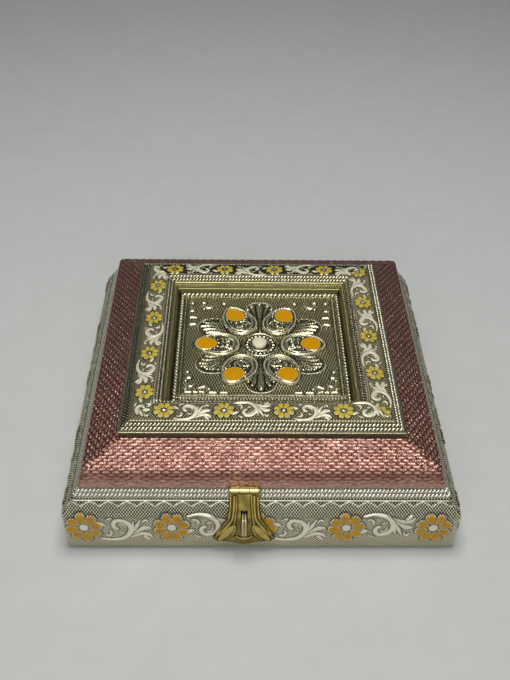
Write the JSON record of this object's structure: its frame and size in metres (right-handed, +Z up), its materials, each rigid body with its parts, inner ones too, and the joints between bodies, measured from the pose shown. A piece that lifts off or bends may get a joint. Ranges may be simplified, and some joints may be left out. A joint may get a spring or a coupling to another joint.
{
  "type": "dry fruit box",
  "caption": "Square lidded keepsake box for dried fruit, faced in embossed metal, with velvet compartments, rear hinges and a front hasp.",
  "frame": {"origin": "middle of the bottom board's underside, on the surface that the box stands on", "axes": "+Z up, +X to the right as the hasp is faced, -Y towards the hasp at the front"},
  "size_m": [0.2552, 0.2632, 0.0776],
  "materials": {
    "silver_sheet": "embossed bright sheet, dark in its hollows, with amber and cream enamel",
    "rose_sheet": "embossed sheet lacquered rose",
    "brass_fittings": "aged, stamped",
    "screws": "yellow plated",
    "wood_core": "stained",
    "velvet": "short pile"
  },
  "bodies": {
    "base": {"base_front_rail": "wood_core", "base_right_rail": "wood_core", "base_back_rail": "wood_core", "base_left_rail": "wood_core", "base_front_sheet": "silver_sheet", "base_right_sheet": "silver_sheet", "base_back_sheet": "silver_sheet", "base_left_sheet": "silver_sheet", "bottom_board": "wood_core", "floor_velvet": "velvet", "wall_front_velvet": "velvet", "wall_right_velvet": "velvet", "wall_back_velvet": "velvet", "wall_left_velvet": "velvet", "long_divider": "velvet", "cross_divider": "velvet", "left_hinge_base_leaf": "brass_fittings", "left_hinge_pin": "brass_fittings", "right_hinge_base_leaf": "brass_fittings", "right_hinge_pin": "brass_fittings", "hinge_base_screws": "screws", "staple": "brass_fittings"},
    "lid": {"lid_front_skirt": "wood_core", "lid_right_skirt": "wood_core", "lid_back_skirt": "wood_core", "lid_left_skirt": "wood_core", "lid_front_bevel": "wood_core", "lid_right_bevel": "wood_core", "lid_back_bevel": "wood_core", "lid_left_bevel": "wood_core", "lid_front_sheet": "rose_sheet", "lid_right_sheet": "rose_sheet", "lid_back_sheet": "rose_sheet", "lid_left_sheet": "rose_sheet", "lid_board": "wood_core", "lid_velvet": "velvet", "panel_board": "wood_core", "panel_sheet": "silver_sheet", "frame_front_moulding": "wood_core", "frame_right_moulding": "wood_core", "frame_back_moulding": "wood_core", "frame_left_moulding": "wood_core", "frame_front_sheet": "silver_sheet", "frame_right_sheet": "silver_sheet", "frame_back_sheet": "silver_sheet", "frame_left_sheet": "silver_sheet", "left_hinge_lid_leaf": "brass_fittings", "right_hinge_lid_leaf": "brass_fittings", "hinge_lid_screws": "screws", "hasp_leaf": "brass_fittings", "hasp_pin": "brass_fittings", "hasp_screws": "screws"},
    "hasp": {"hasp_plate": "brass_fittings"}
  },
  "joints": [
    {"name": "lid_hinge", "type": "hinge", "parent": "base", "child": "lid", "pos_m": [0, 0.11991, 0.04865], "axis": [-1, 0, 0], "range_deg": [0, 105]},
    {"name": "hasp_hinge", "type": "hinge", "parent": "lid", "child": "hasp", "pos_m": [-0.0113, -0.11991, 0.0493], "axis": [-1, 0, 0], "range_deg": [0, 150]}
  ]
}
